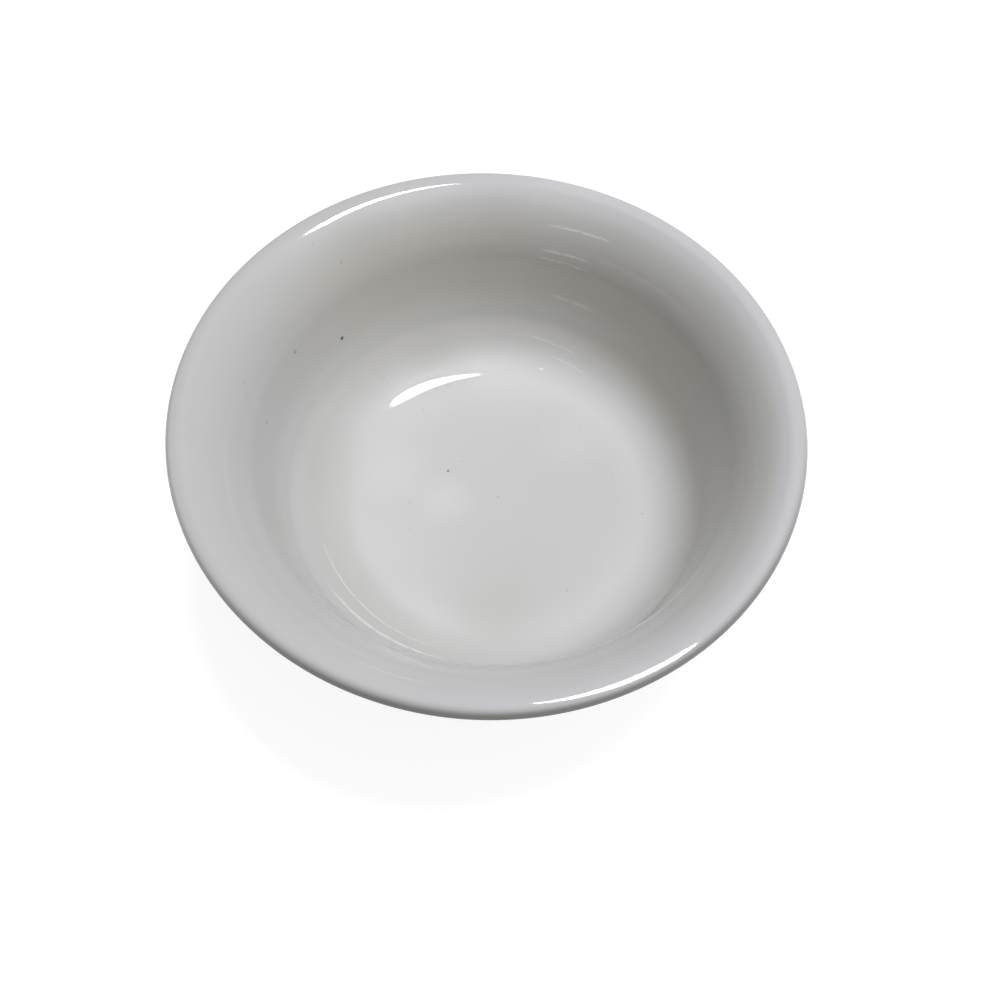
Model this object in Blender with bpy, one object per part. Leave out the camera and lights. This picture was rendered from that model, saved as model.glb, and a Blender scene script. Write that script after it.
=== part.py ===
"""Dessert bowl: one fired ceramic body under two coats of glaze.

Metres, +Z up. The origin is the middle of the standing face of the foot ring, and the bowl
turns about Z. Every face of the bowl is drawn once, as the finished glazed surface, and the
lower faces of the glaze and the face of the clay are that same outline set deeper.
"""

import math

import bmesh
import bpy
from mathutils import Vector

# Overall size
RIM_RADIUS = 0.075
HEIGHT = 0.059

# Lip: a round outer edge, a gentle crown that falls to both sides, a tighter shoulder inside it,
# and the flare that the shoulder turns into
LIP_ROUND = 0.0016
EDGE_SLOPE = math.radians(8.4)
CROWN_RADIUS = 0.0071
CROWN_SLOPE = math.radians(4.9)
SHOULDER_RADIUS = 0.0049
LIP_SLOPE = math.radians(28.0)
FLARE_RADIUS = 0.0211

# Well: the slightly dished floor, set in from the rim, the fillet up to the wall, and the base
RIM_REACH = 0.0346
FLOOR_DISH = 0.0018
WELL_FILLET = 0.017
BASE_THICKNESS = 0.005
WALL_THICKNESS = 0.0046

# Foot ring, which stands under the turn of the wall
FOOT_STEP = 0.0034
FOOT_HEIGHT = 0.0034
FOOT_WIDTH = 0.0056
FOOT_FILLET = 0.002
FOOT_EDGE = 0.0008
RECESS_FILLET = 0.001

# Glaze, and the foot's bare band that the glaze is wiped from before firing
GLAZE_THICKNESS = 0.0003
GLAZE_CLEARANCE = 0.0003
BARE_BAND = 0.0012

# Facets
TURN_STEPS = 64
DISH_STEPS = 2
FILLET_STEPS = 8
FLARE_STEPS = 4
SHOULDER_STEPS = 2
LIP_STEPS = 4
BELLY_STEPS = 6
FOOT_FILLET_STEPS = 3
EDGE_STEPS = 2
MERGE_DISTANCE = 1e-6
SHARP_ANGLE = math.radians(50.0)

# Depths below the finished surface
SURFACE = 0.0
GLAZE_BACK = GLAZE_THICKNESS
CLAY = GLAZE_THICKNESS + GLAZE_CLEARANCE

# Places that follow from the sizes above, in the section plane (radius, height)
FLOOR_RADIUS = RIM_RADIUS - RIM_REACH
FLOOR_LEVEL = FOOT_HEIGHT + BASE_THICKNESS
DISH_RADIUS = (FLOOR_RADIUS**2 + FLOOR_DISH**2) / (2 * FLOOR_DISH)
DISH_SLOPE = math.asin(FLOOR_RADIUS / DISH_RADIUS)
BELLY_RADIUS = WELL_FILLET + WALL_THICKNESS
FOOT_RADIUS = FLOOR_RADIUS + FOOT_STEP
FOOT_BORE = FOOT_RADIUS - FOOT_WIDTH
UP = math.pi / 2


def polar(angle, radius):
    """Point at an angle and a distance from the section plane's origin."""
    return Vector((math.cos(angle), math.sin(angle))) * radius


def arc(centre, radius, start, end, steps):
    """Points along a round stretch, both ends included."""
    return [centre + polar(start + (end - start) * i / steps, radius) for i in range(steps + 1)]


def tangent_slope(low_centre, low_radius, high_centre, high_radius):
    """Slope of the straight wall that leaves the lower arc and turns back on the upper one."""
    run = high_centre - low_centre
    return math.atan2(run.y, run.x) + math.asin((low_radius + high_radius) / run.length)


DISH_CENTRE = Vector((0.0, FLOOR_LEVEL + DISH_RADIUS))
WELL_CENTRE = DISH_CENTRE + polar(DISH_SLOPE - UP, DISH_RADIUS - WELL_FILLET)
CROWN_REACH = polar(UP - EDGE_SLOPE, CROWN_RADIUS - LIP_ROUND)
CROWN_CENTRE = Vector((RIM_RADIUS - LIP_ROUND - CROWN_REACH.x, HEIGHT - CROWN_RADIUS))
LIP_CENTRE = CROWN_CENTRE + CROWN_REACH
SHOULDER_CENTRE = CROWN_CENTRE + polar(CROWN_SLOPE + UP, CROWN_RADIUS - SHOULDER_RADIUS)
FLARE_CENTRE = SHOULDER_CENTRE - polar(LIP_SLOPE + UP, FLARE_RADIUS - SHOULDER_RADIUS)
INNER_SLOPE = tangent_slope(WELL_CENTRE, WELL_FILLET, FLARE_CENTRE, FLARE_RADIUS)

# The outside turns about the same centre as the flare and touches the lip's round edge
LIP_REACH = LIP_CENTRE - FLARE_CENTRE
UNDER_SLOPE = math.atan2(LIP_REACH.y, LIP_REACH.x) - UP
OUTER_FLARE_RADIUS = LIP_REACH.length - LIP_ROUND
OUTER_SLOPE = tangent_slope(WELL_CENTRE, BELLY_RADIUS, FLARE_CENTRE, OUTER_FLARE_RADIUS)

# The foot's outer fillet touches the belly and the upright side of the foot
FOOT_FILLET_X = FOOT_RADIUS + FOOT_FILLET
FOOT_FILLET_DROP = math.sqrt((BELLY_RADIUS + FOOT_FILLET) ** 2 - (FOOT_FILLET_X - WELL_CENTRE.x) ** 2)
FOOT_FILLET_CENTRE = Vector((FOOT_FILLET_X, WELL_CENTRE.y - FOOT_FILLET_DROP))
BELLY_END = math.atan2(-FOOT_FILLET_DROP, FOOT_FILLET_X - WELL_CENTRE.x)


def inner_face(depth):
    """Axis of the floor to the top of the lip."""
    dish = arc(DISH_CENTRE, DISH_RADIUS + depth, -UP, DISH_SLOPE - UP, DISH_STEPS)
    fillet = arc(WELL_CENTRE, WELL_FILLET + depth, DISH_SLOPE - UP, INNER_SLOPE - UP, FILLET_STEPS)
    flare = arc(FLARE_CENTRE, FLARE_RADIUS - depth, INNER_SLOPE + UP, LIP_SLOPE + UP, FLARE_STEPS)
    shoulder = arc(
        SHOULDER_CENTRE, SHOULDER_RADIUS - depth, LIP_SLOPE + UP, CROWN_SLOPE + UP, SHOULDER_STEPS
    )
    crown = arc(CROWN_CENTRE, CROWN_RADIUS - depth, CROWN_SLOPE + UP, UP, 1)
    return dish + fillet[1:] + flare + shoulder[1:] + crown[1:]


def lip_round(depth):
    """Outer side of the crown and the round edge, from the top of the lip to the outside."""
    crown = arc(CROWN_CENTRE, CROWN_RADIUS - depth, UP, UP - EDGE_SLOPE, 1)
    upper = arc(LIP_CENTRE, LIP_ROUND - depth, UP - EDGE_SLOPE, 0.0, LIP_STEPS)
    lower = arc(LIP_CENTRE, LIP_ROUND - depth, 0.0, UNDER_SLOPE - UP, LIP_STEPS // 2)
    return crown[1:] + upper[1:] + lower[1:]


def outer_face(depth):
    """Under the lip, down the wall and the belly to the upright side of the foot."""
    flare = arc(FLARE_CENTRE, OUTER_FLARE_RADIUS + depth, UNDER_SLOPE + UP, OUTER_SLOPE + UP, FLARE_STEPS)
    belly = arc(WELL_CENTRE, BELLY_RADIUS - depth, OUTER_SLOPE - UP, BELLY_END, BELLY_STEPS)
    fillet = arc(
        FOOT_FILLET_CENTRE, FOOT_FILLET + depth, BELLY_END + math.pi, math.pi, FOOT_FILLET_STEPS
    )
    return flare[1:] + belly + fillet[1:]


def foot_round(depth):
    """Standing end of the foot ring, from its upright outer side to its upright inner side."""
    edge = Vector((FOOT_EDGE, FOOT_EDGE))
    outer = arc(Vector((FOOT_RADIUS - depth, 0.0)) + edge * Vector((-1, 1)), FOOT_EDGE, 0.0, -UP, EDGE_STEPS)
    inner = arc(Vector((FOOT_BORE + depth, 0.0)) + edge, FOOT_EDGE, -UP, -math.pi, EDGE_STEPS)
    return outer + inner


def recess_face(depth):
    """Upright inner side of the foot ring, up to the underside and in to the axis."""
    centre = Vector((FOOT_BORE - RECESS_FILLET, FOOT_HEIGHT - RECESS_FILLET))
    fillet = arc(centre, RECESS_FILLET + depth, 0.0, UP, EDGE_STEPS)
    return fillet + [Vector((0.0, FOOT_HEIGHT + depth))]


def body_section():
    """Outline of the clay, from the axis of the floor round to the axis of the underside."""
    bowl = inner_face(CLAY) + lip_round(CLAY) + outer_face(CLAY)
    return bowl + foot_round(CLAY) + recess_face(CLAY)


def coat_section():
    """Outline of the glaze over the inside, the lip and the outside."""

    def face(depth):
        wiped_edge = Vector((FOOT_RADIUS - depth, BARE_BAND))
        return inner_face(depth) + lip_round(depth) + outer_face(depth) + [wiped_edge]

    return face(SURFACE) + face(GLAZE_BACK)[::-1]


def base_section():
    """Outline of the glaze on the underside, inside the foot ring."""

    def face(depth):
        return [Vector((FOOT_BORE + depth, BARE_BAND))] + recess_face(depth)

    return face(SURFACE) + face(GLAZE_BACK)[::-1]


def finish(name, colour, roughness):
    """Material of one sub-part."""
    material = bpy.data.materials.new(name)
    material.use_nodes = True
    shader = material.node_tree.nodes["Principled BSDF"]
    shader.inputs["Base Color"].default_value = (*colour, 1.0)
    shader.inputs["Roughness"].default_value = roughness
    shader.inputs["Metallic"].default_value = 0.0
    return material


def turned(name, section, closed, material, parent):
    """Solid of one sub-part: its section spun once about Z."""
    mesh = bpy.data.meshes.new(name)
    outline = bmesh.new()
    verts = [outline.verts.new((point.x, 0.0, point.y)) for point in section]
    ends = zip(verts, verts[1:] + verts[:1]) if closed else zip(verts, verts[1:])
    edges = [outline.edges.new(pair) for pair in ends]
    bmesh.ops.spin(
        outline,
        geom=verts + edges,
        cent=(0.0, 0.0, 0.0),
        axis=(0.0, 0.0, 1.0),
        angle=2 * math.pi,
        steps=TURN_STEPS,
        use_merge=True,
    )
    bmesh.ops.remove_doubles(outline, verts=outline.verts, dist=MERGE_DISTANCE)
    bmesh.ops.recalc_face_normals(outline, faces=outline.faces)
    outline.to_mesh(mesh)
    outline.free()
    mesh.shade_smooth()
    mesh.set_sharp_from_angle(angle=SHARP_ANGLE)
    mesh.materials.append(material)
    piece = bpy.data.objects.new(name, mesh)
    piece.parent = parent
    bpy.context.collection.objects.link(piece)
    return piece


def main():
    for old in list(bpy.data.objects):
        bpy.data.objects.remove(old, do_unlink=True)
    bowl = bpy.data.objects.new("dessert_bowl", None)
    bpy.context.collection.objects.link(bowl)
    clay = finish("bare_clay", (0.60, 0.58, 0.54), 0.8)
    white = finish("white_glaze", (0.63, 0.63, 0.62), 0.07)
    underside = finish("underside_glaze", (0.61, 0.61, 0.60), 0.12)
    turned("ceramic_body", body_section(), False, clay, bowl)
    turned("glaze_coat", coat_section(), False, white, bowl)
    turned("base_glaze", base_section(), True, underside, bowl)


main()
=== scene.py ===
"""Looks of the dessert bowl: white glazed ware on a pale floor, seen from above its near side.

Metres, +Z up, in the part's own frame. The bowl's section is drawn once as the finished
surface and turned about Z; the clay lies under it by the glaze's thickness and its clearance.
"""

import math

import bmesh
import bpy
from mathutils import Matrix, Vector


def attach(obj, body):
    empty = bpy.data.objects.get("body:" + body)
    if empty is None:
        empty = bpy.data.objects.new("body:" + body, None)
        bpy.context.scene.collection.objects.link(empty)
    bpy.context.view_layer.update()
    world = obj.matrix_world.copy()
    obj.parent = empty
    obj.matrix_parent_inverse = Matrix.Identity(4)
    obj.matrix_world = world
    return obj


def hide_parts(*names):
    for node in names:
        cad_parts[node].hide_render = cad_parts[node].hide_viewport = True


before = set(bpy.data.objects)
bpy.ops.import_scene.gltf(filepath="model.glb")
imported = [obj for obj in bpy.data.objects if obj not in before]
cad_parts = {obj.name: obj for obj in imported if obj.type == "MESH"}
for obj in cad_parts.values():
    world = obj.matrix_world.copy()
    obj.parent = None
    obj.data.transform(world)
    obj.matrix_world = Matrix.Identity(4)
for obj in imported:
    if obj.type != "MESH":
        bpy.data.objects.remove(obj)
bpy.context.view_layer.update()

MM = 0.001
FULL_TURN = 2 * math.pi
UP = math.pi / 2

# Bowl, as in the part
RIM_RADIUS = 0.075
HEIGHT = 0.059
LIP_ROUND = 0.0016
EDGE_SLOPE = math.radians(8.4)
CROWN_RADIUS = 0.0071
CROWN_SLOPE = math.radians(4.9)
SHOULDER_RADIUS = 0.0049
LIP_SLOPE = math.radians(28.0)
FLARE_RADIUS = 0.0211
FLOOR_RADIUS = 0.0404
FLOOR_DISH = 0.0018
WELL_FILLET = 0.017
BASE_THICKNESS = 0.005
WALL_THICKNESS = 0.0046
FOOT_RADIUS = 0.0438
FOOT_HEIGHT = 0.0034
FOOT_WIDTH = 0.0056
FOOT_FILLET = 0.002
FOOT_EDGE = 0.0008
RECESS_FILLET = 0.001
GLAZE_THICKNESS = 0.0003
GLAZE_CLEARANCE = 0.0003
BARE_BAND = 0.0012
CLAY_DEPTH = GLAZE_THICKNESS + GLAZE_CLEARANCE

# Facets: all round the turned pieces, then along each stretch of the section
COAT_TURN_STEPS = 270
CLAY_TURN_STEPS = 192
DISH_STEPS = 10
WELL_STEPS = 26
WALL_STEPS = 8
FLARE_STEPS = 40
SHOULDER_STEPS = 8
CROWN_STEPS = 3
CROWN_EDGE_STEPS = 2
LIP_STEPS = 22
OUTER_FLARE_STEPS = 16
BELLY_STEPS = 18
FOOT_FILLET_STEPS = 8
FOOT_SIDE_STEPS = 2
FOOT_EDGE_STEPS = 5
STANDING_FACE_STEPS = 4
RECESS_FILLET_STEPS = 6
UNDERSIDE_STEPS = 10
MERGE_DISTANCE = 1e-6

# White glaze: its own tone where it lies thick and thin; then painted light, painted shade, a warm
# tint painted into the shade of the walls, a cool tint of lamplight painted on the lip, and painted
# shade on the lip's near outer edge
GLAZE_DEEP = (0.666, 0.663, 0.656, 1.0)
GLAZE_THIN = (0.697, 0.694, 0.688, 1.0)
GLAZE_PAINTED_LIGHT = (0.80, 0.80, 0.795, 1.0)
GLAZE_PAINTED_SHADE = (0.565, 0.56, 0.535, 1.0)
GLAZE_PAINTED_WARM_SHADE = (0.692, 0.677, 0.61, 1.0)
GLAZE_PAINTED_LIP_LIGHT = (0.693, 0.685, 0.712, 1.0)
GLAZE_PAINTED_EDGE_SHADE = (0.30, 0.28, 0.262, 1.0)
GLAZE_ROUGHNESS = 0.05

# Rings of painted light and painted shade, by the distance from the axis along the surface in
# millimetres: where a ring starts, is full, is still full and ends; its strength; the side it is
# strongest on, in degrees round the bowl; and from where and at where across to that side it is
# seen in full
# Painted light: paler rings round the floor's edge and up the wall
PAINTED_LIGHT_RINGS = (
    (30.0, 44.0, 47.0, 54.0, 0.50, 0.0, -38.0, -12.0),
    (54.0, 62.0, 65.0, 74.0, 0.55, 180.0, -50.0, -15.0),
)
# Painted shade: darker rings on the upper right wall and the near-left fillet
PAINTED_SHADE_RINGS = (
    (79.0, 86.0, 95.0, 102.0, 0.62, 20.0, -40.0, 75.0),
    (39.0, 44.0, 50.0, 58.0, 0.45, 210.0, 18.0, 44.0),
)
# A warm tint painted into the shade of the far and right walls
PAINTED_WARM_SHADE_RING = (50.0, 60.0, 88.0, 100.0, 0.9, 53.0, -30.0, 30.0)
# A cool tint of lamplight painted on the lip, strongest on the far side
PAINTED_LIP_LIGHT_RING = (98.0, 101.0, 106.0, 112.0, 0.7, 0.0, -75.0, 60.0)
# Painted shade on the near outer edge of the lip, where it turns down away from the light
PAINTED_EDGE_SHADE_RING = (103.9, 106.2, 108.0, 114.0, 0.8, 280.0, 10.0, 65.0)

# Soft clouds of painted light and painted shade: x, y, z of the middle and the reach in
# millimetres, then strength
# Painted light: paler clouds on the floor, the near wall and the far and right lip
PAINTED_LIGHT_CLOUDS = (
    (-15.9, 0.7, 8.7, 11.0, 0.45),
    (-30.0, -12.0, 9.6, 16.0, 0.15),
    (4.0, 38.0, 10.3, 20.0, 0.20),
    (-31.0, 9.0, 9.5, 15.0, 0.38),
    (21.0, 20.0, 9.3, 14.0, 0.30),
    (-22.0, -57.0, 48.0, 22.0, 0.45),
    (0.0, -60.0, 48.0, 22.0, 0.60),
    (20.0, -57.0, 48.0, 22.0, 0.45),
    (20.0, 70.0, 59.5, 24.0, 0.75),
    (46.0, 54.0, 58.5, 26.0, 0.30),
    (73.0, 14.0, 59.0, 24.0, 0.30),
)
# Painted shade: darker clouds on the floor and fillet, the far-left flare and the right wall
PAINTED_SHADE_CLOUDS = (
    (-45.0, 9.0, 13.0, 20.0, 0.20),
    (2.0, -26.0, 9.2, 30.0, 0.28),
    (-2.0, -37.0, 9.9, 20.0, 0.35),
    (-18.0, 44.0, 12.0, 15.0, 0.45),
    (-37.0, 56.0, 56.4, 16.0, 0.35),
    (58.0, 3.0, 36.0, 44.0, 0.50),
)

# Every glaze's skin: how close its slow and its fine changes of tone lie, and the slow ones'
# share; the same for its gloss, and how far that changes; then broad swells and a fine peel of
# the surface, in metres, and how close they lie
SLOW_TONE_SCALE = 28.0
FINE_TONE_SCALE = 420.0
SLOW_TONE_SHARE = 0.7
GLOSS_SCALE = 60.0
GLOSS_CHANGE = 0.03
SKIN_SWELL = 9.0e-6
SWELL_SCALE = 70.0
SKIN_PEEL = 2.5e-7
PEEL_SCALE = 700.0

# Specks: how close the raggedness of their edges lies, the share of the radius that is full, and
# for each speck in the white glaze its x, y, z and radius in millimetres, then its strength
SPECK_DARK = (0.045, 0.04, 0.035, 1.0)
SPECK_EDGE_SCALE = 1500.0
SPECK_CORE = 0.45
GLAZE_SPECKS = (
    (-42.88, 38.02, 33.14, 0.68, 0.86),
    (-52.58, 26.65, 41.92, 0.78, 0.29),
    (-15.16, 10.06, 8.77, 0.52, 0.61),
    (-40.75, 47.86, 52.07, 0.46, 0.20),
    (-48.53, 29.66, 30.82, 0.48, 0.22),
    (-58.15, 6.75, 39.74, 0.50, 0.26),
    (-33.77, 38.01, 15.05, 0.42, 0.14),
    (-25.56, -0.49, 9.12, 0.44, 0.12),
    (-25.27, -8.98, 9.19, 0.42, 0.15),
    (-0.85, 1.75, 8.40, 0.40, 0.28),
    (33.16, -0.26, 9.61, 0.56, 0.08),
    (40.39, -4.82, 10.23, 0.36, 0.24),
    (24.05, 24.71, 9.71, 0.42, 0.14),
    (-22.73, 30.02, 9.96, 0.42, 0.14),
    (-10.91, 13.42, 8.73, 0.40, 0.12),
    (10.59, 25.58, 9.25, 0.50, 0.11),
    (17.85, -28.12, 9.62, 0.50, 0.13),
    (10.57, -32.72, 9.70, 0.40, 0.11),
    (32.78, 8.31, 9.66, 0.46, 0.10),
    (-46.96, 49.03, 57.06, 0.44, 0.11),
    (-61.26, 10.85, 51.12, 0.46, 0.09),
    (-58.89, 22.65, 52.40, 0.40, 0.06),
)

# Wear strokes, whose pale colour is a painted glint of light on them: their colour and the
# roughness that they add, the share of a stroke that each end tapers over, how far a stroke sways
# in millimetres, how close its sways and its breaks lie, the noise at which a break is deepest and
# is over, and what is left of the stroke in it
WEAR_AND_GLINT_PALE = (0.97, 0.97, 0.95, 1.0)
WORN_ROUGHNESS = 0.12
WEAR_TAPER = 0.3
WEAR_SWAY = 0.9
WEAR_SWAY_SCALE = 0.4
WEAR_BREAK_SCALE = 0.5
WEAR_BREAK_DEEPEST = 0.30
WEAR_BREAK_OVER = 0.55
WEAR_BREAK_LEFT = 0.45

# Each stroke: from and to in degrees round the bowl, distance from the axis along the surface and
# its change over the stroke in millimetres, half width in millimetres, then strength
WEAR_AND_GLINT_STROKES = (
    (-168.0, -108.0, 51.0, -2.8, 0.40, 0.55),
    (-150.0, -104.0, 55.6, -4.0, 0.80, 0.90),
    (-140.0, -114.0, 55.6, -2.4, 0.32, 0.45),
    (-120.0, -102.0, 88.7, 5.4, 0.50, 0.65),
    (-118.0, -106.0, 90.6, 3.8, 0.40, 0.55),
    (-118.0, -100.0, 99.6, 0.2, 0.40, 0.25),
    (60.0, 79.0, 93.5, -0.7, 0.45, 0.70),
    (64.5, 80.5, 86.1, -0.4, 0.60, 0.75),
    (63.5, 82.0, 83.1, 0.1, 0.55, 0.65),
    (60.0, 77.0, 70.3, 1.0, 1.00, 0.45),
    (60.0, 85.0, 53.1, 2.9, 0.45, 0.40),
    (55.0, 74.0, 49.2, 1.6, 0.45, 0.40),
    # Not a wear mark: a short pale stroke that is only a painted highlight, a bright dot of glint
    (72.9, 75.3, 46.3, 0.0, 0.55, 1.00),
)

# Rings that the wheel has left: how close their unevenness lies, and how many rings it spans
RING_SHAKE_SCALE = 90.0
RING_SHAKE = 4.0

# Underside glaze
UNDERSIDE_DEEP = (0.575, 0.572, 0.55, 1.0)
UNDERSIDE_THIN = (0.625, 0.62, 0.60, 1.0)
UNDERSIDE_ROUGHNESS = 0.09
UNDERSIDE_RING_TONE = 0.3
UNDERSIDE_RING_ROUGHNESS = 0.04
UNDERSIDE_RING_PITCH = 2.1 * MM
UNDERSIDE_RING_HEIGHT = 1.0e-5
UNDERSIDE_SPECKS = (
    (12.0, -9.0, 3.40, 0.40, 0.80),
    (-21.0, 14.0, 3.40, 0.30, 0.60),
    (6.0, 27.0, 3.40, 0.28, 0.60),
    (-30.0, -11.0, 3.40, 0.35, 0.45),
)

# Bare clay
CLAY_WARM = (0.56, 0.53, 0.47, 1.0)
CLAY_PALE = (0.64, 0.61, 0.56, 1.0)
CLAY_SAND = (0.44, 0.40, 0.34, 1.0)
CLAY_SAND_SCALE = 1400.0
CLAY_SAND_STARTS = 0.5
CLAY_SAND_FULL = 0.75
CLAY_SAND_TONE = 0.45
CLAY_CLOUD_SCALE = 60.0
CLAY_ROUGHNESS = 0.85
CLAY_GRAIN = 2.0e-5
CLAY_RING_TONE = 0.25
CLAY_RING_POLISH = 0.1
CLAY_RING_PITCH = 0.45 * MM
CLAY_RING_HEIGHT = 6.0e-6
CLAY_SPECKS = (
    (41.2, 6.0, 0.0, 0.30, 0.80),
    (-28.0, 30.0, 0.0, 0.25, 0.70),
    (10.0, -40.0, 0.0, 0.28, 0.60),
)

# Camera
EYE = Vector((0.0, -0.11936, 0.24097))
AIM = Vector((0.02521, -0.03573, 0.05736))
CAMERA_ROLL = math.radians(14.744)
FOCAL_LENGTH = 32.45
SENSOR_WIDTH = 36.0
FRAME_SHIFT = (-0.114, 0.044)
NEAREST_SEEN = 0.01

# Floor
FLOOR_REACH = 4.0
FLOOR_COLOUR = (0.30, 0.30, 0.30)
FLOOR_GLOW = 0.9

# Key panel: where its middle hangs, its length and width in metres, how far it turns from X, and
# the brightness of a white card that lies under it on the floor
KEY_PLACE = Vector((0.195, 0.133, 1.0))
KEY_SPREAD = (0.344, 0.170)
KEY_TURN = math.radians(-28.0)
KEY_BRIGHTNESS = 0.58
KEY_COLOUR = (0.99, 0.995, 1.02)

# Soft light of the room: azimuth clockwise from straight across the bowl and elevation of the
# brightest place in degrees, how tightly the light gathers there, and a white card's brightness
ROOM_LIGHT = (
    (120.0, 72.0, 20.0, 0.167),
    (135.0, 45.0, 10.0, 0.042),
    (0.0, 72.0, 20.0, 0.026),
    (0.0, 18.0, 12.0, 0.025),
    (300.0, 14.0, 10.0, 0.015),
)


# Wiring of the materials

class Wiring:
    """Short ways to add nodes to a tree and to join them."""

    def __init__(self, tree):
        self.tree = tree

    def node(self, kind, **settings):
        made = self.tree.nodes.new("ShaderNode" + kind)
        for name, value in settings.items():
            setattr(made, name, value)
        return made

    def feed(self, socket, source):
        """Join an output to a socket, or set the socket where the source is a plain value."""
        if isinstance(source, bpy.types.NodeSocket):
            self.tree.links.new(source, socket)
        else:
            socket.default_value = source

    def sum(self, operation, *sources):
        """Arithmetic on single values."""
        made = self.node("Math", operation=operation)
        for socket, source in zip(made.inputs, sources):
            self.feed(socket, source)
        return made.outputs[0]

    def steer(self, operation, *sources):
        """Arithmetic on vectors."""
        made = self.node("VectorMath", operation=operation)
        for socket, source in zip(made.inputs, sources):
            self.feed(socket, source)
        single = operation in ("DISTANCE", "LENGTH", "DOT_PRODUCT")
        return made.outputs["Value" if single else "Vector"]

    def ramp(self, source, start, end, low=0.0, high=1.0):
        """Smooth step of a value, from low at the start to high at the end."""
        made = self.node("MapRange", interpolation_type="SMOOTHSTEP")
        values = (source, start, end, low, high)
        for name, value in zip(("Value", "From Min", "From Max", "To Min", "To Max"), values):
            self.feed(made.inputs[name], value)
        return made.outputs["Result"]

    def ring(self, run, place, places):
        """Mask of a ring between distances along the surface, which fades away from one side."""
        starts, full, still_full, ends, strength, side, side_from, side_full = places
        towards = (math.cos(math.radians(side)) / MM, math.sin(math.radians(side)) / MM, 0.0)
        across = self.ramp(self.steer("DOT_PRODUCT", place, towards), side_from, side_full)
        rising = self.sum("MULTIPLY", self.ramp(run, starts, full), across)
        return self.sum("MULTIPLY", rising, self.ramp(run, ends, still_full, 0.0, strength))

    def cloud(self, place, middle):
        """Mask of a soft round cloud."""
        x, y, z, reach, strength = middle
        away = self.steer("DISTANCE", place, Vector((x, y, z)) * MM)
        return self.ramp(away, reach * MM, 0.0, 0.0, strength)

    def noise(self, place, scale, detail=2.0):
        made = self.node("TexNoise")
        self.feed(made.inputs["Vector"], place)
        made.inputs["Scale"].default_value = scale
        made.inputs["Detail"].default_value = detail
        return made.outputs["Fac"]

    def blend(self, amount, first, second):
        """Mix of two colours."""
        made = self.node("Mix", data_type="RGBA")
        sockets = [socket for socket in made.inputs if socket.enabled]
        for socket, source in zip(sockets, (amount, first, second)):
            self.feed(socket, source)
        return [socket for socket in made.outputs if socket.enabled][0]

    def group(self, tree, **sources):
        """A node of a shared group, with its inputs joined or set."""
        made = self.node("Group", node_tree=tree)
        for name, source in sources.items():
            self.feed(made.inputs[name], source)
        return made.outputs

    def relief(self, height):
        """Normal of a surface with a height, in metres, on it."""
        bump = self.node("Bump")
        bump.inputs["Distance"].default_value = 1.0
        self.feed(bump.inputs["Height"], height)
        return bump.outputs["Normal"]

    def strongest(self, masks):
        """The strongest of several masks."""
        total = masks[0]
        for mask in masks[1:]:
            total = self.sum("MAXIMUM", total, mask)
        return total


def new_group(name, inputs, outputs):
    """Empty group with its sockets: its wiring, its inner inputs and its inner outputs."""
    tree = bpy.data.node_groups.new(name, "ShaderNodeTree")
    for label, kind in inputs.items():
        tree.interface.new_socket(label, in_out="INPUT", socket_type="NodeSocket" + kind)
    for label, kind in outputs.items():
        tree.interface.new_socket(label, in_out="OUTPUT", socket_type="NodeSocket" + kind)
    wires = Wiring(tree)
    entry = tree.nodes.new("NodeGroupInput")
    leave = tree.nodes.new("NodeGroupOutput")
    return wires, entry.outputs, leave.inputs


def new_material(name):
    """Material with its wiring, its shader's inputs, and the place on the object."""
    material = bpy.data.materials.new(name)
    material.use_nodes = True
    wires = Wiring(material.node_tree)
    place = wires.node("TexCoord").outputs["Object"]
    return material, wires, material.node_tree.nodes["Principled BSDF"].inputs, place


# Effects that the materials share

def speck_group():
    """A ragged dot."""
    wires, given, made = new_group(
        "speck", {"Place": "Vector", "Centre": "Vector", "Size": "Float"}, {"Mask": "Float"}
    )
    ragged = wires.node("TexNoise")
    ragged.inputs["Scale"].default_value = SPECK_EDGE_SCALE
    wires.feed(ragged.inputs["Vector"], given["Place"])
    push = wires.steer("SUBTRACT", ragged.outputs["Color"], (0.5, 0.5, 0.5))
    sized_push = wires.node("VectorMath", operation="SCALE")
    wires.feed(sized_push.inputs[0], push)
    wires.feed(sized_push.inputs["Scale"], given["Size"])
    moved = wires.steer("ADD", given["Place"], sized_push.outputs[0])
    away = wires.steer("DISTANCE", moved, given["Centre"])
    core = wires.sum("MULTIPLY", given["Size"], SPECK_CORE)
    wires.feed(made["Mask"], wires.ramp(away, given["Size"], core))
    return wires.tree


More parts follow.
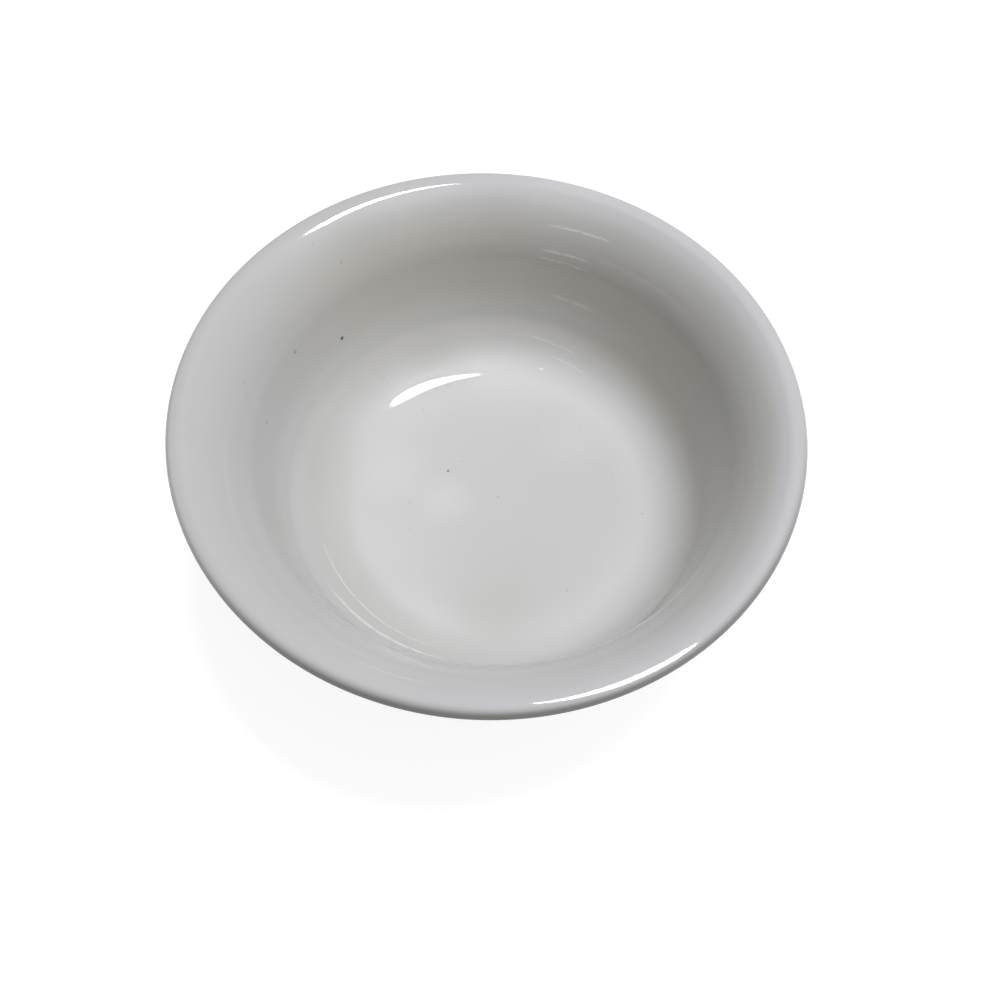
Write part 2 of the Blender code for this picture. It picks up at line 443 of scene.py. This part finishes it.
def wear_and_glint_group():
    """A fine stroke that a spoon has left, running round the bowl, painted pale where it glints."""
    wires, given, made = new_group(
        "wear_and_glint_stroke",
        {
            "Turn": "Float", "Run": "Float", "From": "Float", "To": "Float",
            "Level": "Float", "Rise": "Float", "Width": "Float",
        },
        {"Mask": "Float"},
    )
    span = wires.sum("SUBTRACT", given["To"], given["From"])
    share = wires.sum("DIVIDE", wires.sum("SUBTRACT", given["Turn"], given["From"]), span)
    taper_in = wires.ramp(share, 0.0, WEAR_TAPER)
    ends = wires.sum("MULTIPLY", taper_in, wires.ramp(share, 1.0, 1.0 - WEAR_TAPER))
    along = wires.node("CombineXYZ")
    wires.feed(along.inputs["X"], given["Turn"])
    wires.feed(along.inputs["Y"], given["Level"])
    sway = wires.sum("SUBTRACT", wires.noise(along.outputs[0], WEAR_SWAY_SCALE), 0.5)
    middle = wires.sum("MULTIPLY_ADD", given["Rise"], share, given["Level"])
    middle = wires.sum("MULTIPLY_ADD", sway, WEAR_SWAY, middle)
    off = wires.sum("ABSOLUTE", wires.sum("SUBTRACT", given["Run"], middle))
    line = wires.ramp(off, given["Width"], 0.0)
    breaks = wires.noise(along.outputs[0], WEAR_BREAK_SCALE)
    broken = wires.ramp(breaks, WEAR_BREAK_DEEPEST, WEAR_BREAK_OVER, WEAR_BREAK_LEFT)
    wires.feed(made["Mask"], wires.sum("MULTIPLY", wires.sum("MULTIPLY", ends, line), broken))
    return wires.tree


def skin_group():
    """What every glaze shares: slow changes of tone and gloss, and a skin that isn't quite even."""
    wires, given, made = new_group(
        "glaze_skin", {"Place": "Vector"}, {"Tone": "Float", "Gloss": "Float", "Height": "Float"}
    )
    slow = wires.sum("MULTIPLY", wires.noise(given["Place"], SLOW_TONE_SCALE), SLOW_TONE_SHARE)
    fine = wires.noise(given["Place"], FINE_TONE_SCALE, 3.0)
    wires.feed(made["Tone"], wires.sum("MULTIPLY_ADD", fine, 1.0 - SLOW_TONE_SHARE, slow))
    gloss = wires.noise(given["Place"], GLOSS_SCALE)
    wires.feed(made["Gloss"], wires.sum("MULTIPLY_ADD", gloss, GLOSS_CHANGE, -GLOSS_CHANGE / 2))
    swell = wires.sum("MULTIPLY", wires.noise(given["Place"], SWELL_SCALE, 1.0), SKIN_SWELL)
    peel = wires.sum("MULTIPLY", wires.noise(given["Place"], PEEL_SCALE, 1.0), SKIN_PEEL)
    wires.feed(made["Height"], wires.sum("ADD", swell, peel))
    return wires.tree


def rings_group():
    """Fine rings that the wheel has left round the axis."""
    wires, given, made = new_group(
        "turning_rings", {"Place": "Vector", "Pitch": "Float"}, {"Ring": "Float"}
    )
    flat = wires.steer("MULTIPLY", given["Place"], (1.0, 1.0, 0.0))
    away = wires.sum("DIVIDE", wires.steer("LENGTH", flat), given["Pitch"])
    shake = wires.noise(given["Place"], RING_SHAKE_SCALE)
    shaken = wires.sum("MULTIPLY_ADD", shake, RING_SHAKE, away)
    ring = wires.sum("SINE", wires.sum("MULTIPLY", shaken, FULL_TURN))
    wires.feed(made["Ring"], wires.sum("MULTIPLY_ADD", ring, 0.5, 0.5))
    return wires.tree


def speck_mask(wires, speck, place, rows):
    """All the specks of one table."""
    masks = []
    for x, y, z, size, strength in rows:
        dot = wires.group(speck, Place=place, Centre=Vector((x, y, z)) * MM, Size=size * MM)
        masks.append(wires.sum("MULTIPLY", dot["Mask"], strength))
    return wires.strongest(masks)


def wear_and_glint_mask(wires, wear_and_glint_tree, turn, run):
    """All the wear strokes, painted pale where they glint."""
    masks = []
    for start, end, level, rise, width, strength in WEAR_AND_GLINT_STROKES:
        stroke = wires.group(
            wear_and_glint_tree, Turn=turn, Run=run, From=start, To=end, Level=level, Rise=rise, Width=width
        )
        masks.append(wires.sum("MULTIPLY", stroke["Mask"], strength))
    return wires.strongest(masks)


# Materials

def white_glaze(speck, wear_and_glint_tree, skin):
    """Glossy white glaze with a few dark specks, fine strokes where spoons have worn it that are
    painted pale as glints, and painted light and shade in its tone.
    """
    material, wires, shader, place = new_material("white_glaze_fine")
    axes = wires.node("SeparateXYZ")
    wires.feed(axes.inputs[0], place)
    turn = wires.sum("DEGREES", wires.sum("ARCTAN2", axes.outputs["Y"], axes.outputs["X"]))
    run = wires.node("Attribute", attribute_name="run").outputs["Fac"]
    surface = wires.group(skin, Place=place)

    colour = wires.blend(surface["Tone"], GLAZE_DEEP, GLAZE_THIN)
    # Painted light and shade in the glaze's colour: a warm tint in the walls' shade, then paler
    # painted light and darker painted shade
    colour = wires.blend(wires.ring(run, place, PAINTED_WARM_SHADE_RING), colour, GLAZE_PAINTED_WARM_SHADE)
    for tone, rings, clouds in (
        (GLAZE_PAINTED_LIGHT, PAINTED_LIGHT_RINGS, PAINTED_LIGHT_CLOUDS),
        (GLAZE_PAINTED_SHADE, PAINTED_SHADE_RINGS, PAINTED_SHADE_CLOUDS),
    ):
        for places in rings:
            colour = wires.blend(wires.ring(run, place, places), colour, tone)
        for middle in clouds:
            colour = wires.blend(wires.cloud(place, middle), colour, tone)
    # A cool tint of lamplight painted on the lip, and painted shade on its near outer edge
    colour = wires.blend(wires.ring(run, place, PAINTED_LIP_LIGHT_RING), colour, GLAZE_PAINTED_LIP_LIGHT)
    colour = wires.blend(wires.ring(run, place, PAINTED_EDGE_SHADE_RING), colour, GLAZE_PAINTED_EDGE_SHADE)

    # Wear strokes whose pale colour is a painted glint of light
    wear_and_glint = wear_and_glint_mask(wires, wear_and_glint_tree, turn, run)
    colour = wires.blend(wear_and_glint, colour, WEAR_AND_GLINT_PALE)
    dots = speck_mask(wires, speck, place, GLAZE_SPECKS)
    wires.feed(shader["Base Color"], wires.blend(dots, colour, SPECK_DARK))
    gloss = wires.sum("ADD", surface["Gloss"], GLAZE_ROUGHNESS)
    wires.feed(shader["Roughness"], wires.sum("MULTIPLY_ADD", wear_and_glint, WORN_ROUGHNESS, gloss))
    wires.feed(shader["Normal"], wires.relief(surface["Height"]))
    return material


def underside_glaze(speck, skin, rings):
    """The underside's thinner glaze, through which the wheel's rings show."""
    material, wires, shader, place = new_material("underside_glaze_fine")
    surface = wires.group(skin, Place=place)
    ring = wires.group(rings, Place=place, Pitch=UNDERSIDE_RING_PITCH)["Ring"]
    colour = wires.blend(surface["Tone"], UNDERSIDE_DEEP, UNDERSIDE_THIN)
    ring_tone = wires.sum("MULTIPLY", ring, UNDERSIDE_RING_TONE)
    colour = wires.blend(ring_tone, colour, UNDERSIDE_DEEP)
    dots = speck_mask(wires, speck, place, UNDERSIDE_SPECKS)
    wires.feed(shader["Base Color"], wires.blend(dots, colour, SPECK_DARK))
    gloss = wires.sum("MULTIPLY_ADD", ring, UNDERSIDE_RING_ROUGHNESS, UNDERSIDE_ROUGHNESS)
    wires.feed(shader["Roughness"], wires.sum("ADD", surface["Gloss"], gloss))
    height = wires.sum("MULTIPLY_ADD", ring, UNDERSIDE_RING_HEIGHT, surface["Height"])
    wires.feed(shader["Normal"], wires.relief(height))
    return material


def bare_clay(speck, rings):
    """Fired clay: sandy, and ground flat on the standing face."""
    material, wires, shader, place = new_material("bare_clay_fine")
    sand = wires.noise(place, CLAY_SAND_SCALE, 4.0)
    cloud = wires.noise(place, CLAY_CLOUD_SCALE)
    ring = wires.group(rings, Place=place, Pitch=CLAY_RING_PITCH)["Ring"]
    colour = wires.blend(cloud, CLAY_WARM, CLAY_PALE)
    sandy = wires.ramp(sand, CLAY_SAND_STARTS, CLAY_SAND_FULL, 0.0, CLAY_SAND_TONE)
    colour = wires.blend(sandy, colour, CLAY_SAND)
    colour = wires.blend(wires.sum("MULTIPLY", ring, CLAY_RING_TONE), colour, CLAY_PALE)
    dots = speck_mask(wires, speck, place, CLAY_SPECKS)
    wires.feed(shader["Base Color"], wires.blend(dots, colour, SPECK_DARK))
    roughness = wires.sum("MULTIPLY_ADD", ring, -CLAY_RING_POLISH, CLAY_ROUGHNESS)
    wires.feed(shader["Roughness"], roughness)
    grain = wires.sum("MULTIPLY", sand, CLAY_GRAIN)
    height = wires.sum("MULTIPLY_ADD", ring, CLAY_RING_HEIGHT, grain)
    wires.feed(shader["Normal"], wires.relief(height))
    return material


# Section

def polar(angle, radius):
    """Point of the section at an angle and a distance from its origin."""
    return Vector((math.cos(angle), 0.0, math.sin(angle))) * radius


def tangent_slope(low_centre, low_radius, high_centre, high_radius):
    """Slope of the straight wall between the turn at its foot and the turn at its top."""
    run = high_centre - low_centre
    return math.atan2(run.z, run.x) + math.asin((low_radius + high_radius) / run.length)


FLOOR_LEVEL = FOOT_HEIGHT + BASE_THICKNESS
DISH_RADIUS = (FLOOR_RADIUS**2 + FLOOR_DISH**2) / (2 * FLOOR_DISH)
DISH_SLOPE = math.asin(FLOOR_RADIUS / DISH_RADIUS)
BELLY_RADIUS = WELL_FILLET + WALL_THICKNESS
FOOT_BORE = FOOT_RADIUS - FOOT_WIDTH
DISH_CENTRE = Vector((0.0, 0.0, FLOOR_LEVEL + DISH_RADIUS))
WELL_CENTRE = DISH_CENTRE + polar(DISH_SLOPE - UP, DISH_RADIUS - WELL_FILLET)
CROWN_REACH = polar(UP - EDGE_SLOPE, CROWN_RADIUS - LIP_ROUND)
CROWN_CENTRE = Vector((RIM_RADIUS - LIP_ROUND - CROWN_REACH.x, 0.0, HEIGHT - CROWN_RADIUS))
LIP_CENTRE = CROWN_CENTRE + CROWN_REACH
SHOULDER_CENTRE = CROWN_CENTRE + polar(CROWN_SLOPE + UP, CROWN_RADIUS - SHOULDER_RADIUS)
FLARE_CENTRE = SHOULDER_CENTRE - polar(LIP_SLOPE + UP, FLARE_RADIUS - SHOULDER_RADIUS)
INNER_SLOPE = tangent_slope(WELL_CENTRE, WELL_FILLET, FLARE_CENTRE, FLARE_RADIUS)
LIP_REACH = LIP_CENTRE - FLARE_CENTRE
UNDER_SLOPE = math.atan2(LIP_REACH.z, LIP_REACH.x) - UP
OUTER_FLARE_RADIUS = LIP_REACH.length - LIP_ROUND
OUTER_SLOPE = tangent_slope(WELL_CENTRE, BELLY_RADIUS, FLARE_CENTRE, OUTER_FLARE_RADIUS)
FOOT_FILLET_REACH = FOOT_RADIUS + FOOT_FILLET - WELL_CENTRE.x
FOOT_FILLET_DROP = math.sqrt((BELLY_RADIUS + FOOT_FILLET) ** 2 - FOOT_FILLET_REACH**2)
FOOT_FILLET_CENTRE = WELL_CENTRE + Vector((FOOT_FILLET_REACH, 0.0, -FOOT_FILLET_DROP))
BELLY_END = math.atan2(-FOOT_FILLET_DROP, FOOT_FILLET_REACH)


class Outline:
    """A section that grows from its last point, one stretch at a time."""

    def __init__(self, start):
        self.mesh = bmesh.new()
        self.run = self.mesh.verts.layers.float.new("run")
        self.tip = self.mesh.verts.new(start)

    def straight(self, radius, height, steps):
        """Straight stretch to a point."""
        step = (Vector((radius, 0.0, height)) - self.tip.co) / steps
        for _ in range(steps):
            grown = bmesh.ops.extrude_vert_indiv(self.mesh, verts=[self.tip])
            self.tip = grown["verts"][0]
            bmesh.ops.translate(self.mesh, verts=[self.tip], vec=step)

    def rounded(self, centre, turn, steps):
        """Round stretch about a centre, anticlockwise where turn is positive."""
        swept = bmesh.ops.spin(
            self.mesh, geom=[self.tip], cent=centre, axis=(0.0, -1.0, 0.0), angle=turn, steps=steps
        )
        self.tip = [part for part in swept["geom_last"] if isinstance(part, bmesh.types.BMVert)][0]

    def inner_face(self, depth):
        """Floor, fillet, wall, flare, shoulder and crown up to the top of the lip."""
        self.rounded(DISH_CENTRE, DISH_SLOPE, DISH_STEPS)
        self.rounded(WELL_CENTRE, INNER_SLOPE - DISH_SLOPE, WELL_STEPS)
        wall_top = FLARE_CENTRE + polar(INNER_SLOPE + UP, FLARE_RADIUS - depth)
        self.straight(wall_top.x, wall_top.z, WALL_STEPS)
        self.rounded(FLARE_CENTRE, LIP_SLOPE - INNER_SLOPE, FLARE_STEPS)
        self.rounded(SHOULDER_CENTRE, CROWN_SLOPE - LIP_SLOPE, SHOULDER_STEPS)
        self.rounded(CROWN_CENTRE, -CROWN_SLOPE, CROWN_STEPS)

    def outer_face(self, depth):
        """Round edge of the lip, then the outside down to the upright side of the foot."""
        self.rounded(CROWN_CENTRE, -EDGE_SLOPE, CROWN_EDGE_STEPS)
        self.rounded(LIP_CENTRE, UNDER_SLOPE + EDGE_SLOPE - math.pi, LIP_STEPS)
        self.rounded(FLARE_CENTRE, OUTER_SLOPE - UNDER_SLOPE, OUTER_FLARE_STEPS)
        wall_foot = WELL_CENTRE + polar(OUTER_SLOPE - UP, BELLY_RADIUS - depth)
        self.straight(wall_foot.x, wall_foot.z, WALL_STEPS)
        self.rounded(WELL_CENTRE, BELLY_END - OUTER_SLOPE + UP, BELLY_STEPS)
        self.rounded(FOOT_FILLET_CENTRE, -BELLY_END, FOOT_FILLET_STEPS)

    def foot_end(self, depth):
        """Upright outer side, standing face and lower inner edge of the foot ring."""
        outside, inside = FOOT_RADIUS - depth, FOOT_BORE + depth
        self.straight(outside, FOOT_EDGE, FOOT_SIDE_STEPS)
        self.rounded(Vector((outside - FOOT_EDGE, 0.0, FOOT_EDGE)), -UP, FOOT_EDGE_STEPS)
        self.straight(inside + FOOT_EDGE, 0.0, STANDING_FACE_STEPS)
        self.rounded(Vector((inside + FOOT_EDGE, 0.0, FOOT_EDGE)), -UP, FOOT_EDGE_STEPS)

    def recess(self, depth):
        """Upright inner side of the foot ring, then the underside in to the axis."""
        level = FOOT_HEIGHT - RECESS_FILLET
        self.straight(FOOT_BORE + depth, level, FOOT_SIDE_STEPS)
        self.rounded(Vector((FOOT_BORE - RECESS_FILLET, 0.0, level)), UP, RECESS_FILLET_STEPS)
        self.straight(0.0, FOOT_HEIGHT + depth, UNDERSIDE_STEPS)

    def measure(self):
        """Give every point its distance along the section from the start, in millimetres."""
        points = list(self.mesh.verts)
        for last, point in zip(points, points[1:]):
            point[self.run] = last[self.run] + (point.co - last.co).length / MM

    def turned(self, steps):
        """The section's surface all round the axis."""
        outline = list(self.mesh.verts) + list(self.mesh.edges)
        bmesh.ops.spin(
            self.mesh, geom=outline, cent=(0.0, 0.0, 0.0), axis=(0.0, 0.0, 1.0),
            angle=FULL_TURN, steps=steps, use_merge=True,
        )
        bmesh.ops.remove_doubles(self.mesh, verts=self.mesh.verts, dist=MERGE_DISTANCE)
        bmesh.ops.recalc_face_normals(self.mesh, faces=self.mesh.faces)
        return self.mesh


# Pieces

def keep_piece(name, shape, material, node):
    """Object of a finished shape, in place of its solid."""
    mesh = bpy.data.meshes.new(name)
    shape.to_mesh(mesh)
    shape.free()
    mesh.shade_smooth()
    mesh.materials.append(material)
    piece = bpy.data.objects.new(name, mesh)
    bpy.context.collection.objects.link(piece)
    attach(piece, "root")
    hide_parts(node)


def make_coat(material):
    """White glaze over the inside, the lip and the outside."""
    outline = Outline((0.0, 0.0, FLOOR_LEVEL))
    outline.inner_face(0.0)
    outline.outer_face(0.0)
    outline.straight(FOOT_RADIUS, BARE_BAND, FOOT_SIDE_STEPS)
    outline.measure()
    shape = outline.turned(COAT_TURN_STEPS)
    bmesh.ops.solidify(shape, geom=shape.faces[:], thickness=GLAZE_THICKNESS)
    keep_piece("glaze_coat_fine", shape, material, "glaze_coat")


def make_base_glaze(material):
    """Glaze on the underside, inside the foot ring."""
    outline = Outline((FOOT_BORE, 0.0, BARE_BAND))
    outline.recess(0.0)
    shape = outline.turned(CLAY_TURN_STEPS)
    # The sheet is open, so its outer side, which faces down, is told by the face at its middle
    middle = min(shape.faces, key=lambda face: face.calc_center_median().xy.length)
    if middle.normal.z > 0.0:
        bmesh.ops.reverse_faces(shape, faces=shape.faces[:])
    bmesh.ops.solidify(shape, geom=shape.faces[:], thickness=GLAZE_THICKNESS)
    keep_piece("base_glaze_fine", shape, material, "base_glaze")


def make_clay(material):
    """Fired clay under the glaze, bare on the foot ring."""
    outline = Outline((0.0, 0.0, FLOOR_LEVEL - CLAY_DEPTH))
    outline.inner_face(CLAY_DEPTH)
    outline.outer_face(CLAY_DEPTH)
    outline.foot_end(CLAY_DEPTH)
    outline.recess(CLAY_DEPTH)
    shape = outline.turned(CLAY_TURN_STEPS)
    keep_piece("ceramic_body_fine", shape, material, "ceramic_body")


# Lights, floor and camera

def make_key():
    """Bright level oval panel over the bowl's right side."""
    lamp = bpy.data.lights.new("key_panel", "AREA")
    lamp.shape = "ELLIPSE"
    lamp.size, lamp.size_y = KEY_SPREAD
    lamp.energy = math.pi**2 * KEY_BRIGHTNESS * KEY_PLACE.length_squared**2 / KEY_PLACE.z**2
    lamp.color = KEY_COLOUR
    stand = bpy.data.objects.new("key_panel", lamp)
    stand.location = KEY_PLACE
    stand.rotation_euler = (0.0, 0.0, KEY_TURN)
    bpy.context.collection.objects.link(stand)


def make_room():
    """Soft light with no edges for the glaze to mirror, in front of a plain white backdrop."""
    world = bpy.data.worlds.new("room")
    world.use_nodes = True
    wires = Wiring(world.node_tree)
    looking = wires.node("TexCoord").outputs["Generated"]
    total = 0.0
    for azimuth, elevation, gathering, brightness in ROOM_LIGHT:
        around, above = math.radians(azimuth), math.radians(elevation)
        level = math.cos(above)
        middle = (math.sin(around) * level, math.cos(around) * level, math.sin(above))
        facing = wires.sum("MAXIMUM", wires.steer("DOT_PRODUCT", looking, middle), 0.0)
        soft = wires.sum("POWER", facing, gathering)
        total = wires.sum("MULTIPLY_ADD", soft, brightness * (gathering + 2) / 2, total)
    seen = wires.node("LightPath").outputs["Is Camera Ray"]
    total = wires.sum("MAXIMUM", total, seen)
    background = world.node_tree.nodes["Background"].inputs
    background["Color"].default_value = (1.0, 1.0, 1.0, 1.0)
    wires.feed(background["Strength"], total)
    bpy.context.scene.world = world


def make_floor():
    """Pale card that looks evenly white, and keeps the bowl's soft shadow."""
    mesh = bpy.data.meshes.new("floor")
    shape = bmesh.new()
    bmesh.ops.create_grid(shape, x_segments=1, y_segments=1, size=FLOOR_REACH)
    shape.to_mesh(mesh)
    shape.free()
    material, wires, shader, _ = new_material("floor_card")
    shader["Base Color"].default_value = (*FLOOR_COLOUR, 1.0)
    shader["Roughness"].default_value = 1.0
    shader["Specular IOR Level"].default_value = 0.0
    shader["Emission Color"].default_value = (1.0, 1.0, 1.0, 1.0)
    path = wires.node("LightPath").outputs
    seen = wires.sum("MAXIMUM", path["Is Camera Ray"], path["Is Glossy Ray"])
    seen = wires.sum("MAXIMUM", seen, path["Is Transmission Ray"])
    wires.feed(shader["Emission Strength"], wires.sum("MULTIPLY", seen, FLOOR_GLOW))
    mesh.materials.append(material)
    floor = bpy.data.objects.new("floor", mesh)
    bpy.context.collection.objects.link(floor)


def make_camera():
    """Camera at the photograph's angle, rolled about its line of sight."""
    lens = bpy.data.cameras.new("camera")
    lens.sensor_width = SENSOR_WIDTH
    lens.lens = FOCAL_LENGTH
    lens.shift_x, lens.shift_y = FRAME_SHIFT
    lens.clip_start = NEAREST_SEEN
    looking = (AIM - EYE).normalized()
    level = looking.cross(Vector((0.0, 0.0, 1.0))).normalized()
    above = level.cross(looking)
    right = level * math.cos(CAMERA_ROLL) + above * math.sin(CAMERA_ROLL)
    turned = Matrix((right, right.cross(looking), -looking)).transposed().to_4x4()
    camera = bpy.data.objects.new("camera", lens)
    camera.matrix_world = Matrix.Translation(EYE) @ turned
    bpy.context.collection.objects.link(camera)
    bpy.context.scene.camera = camera


def main():
    bpy.context.scene.view_settings.view_transform = "Standard"
    make_camera()
    make_key()
    make_room()
    make_floor()
    speck, wear_and_glint_tree, skin, rings = speck_group(), wear_and_glint_group(), skin_group(), rings_group()
    make_coat(white_glaze(speck, wear_and_glint_tree, skin))
    make_base_glaze(underside_glaze(speck, skin, rings))
    make_clay(bare_clay(speck, rings))


main()
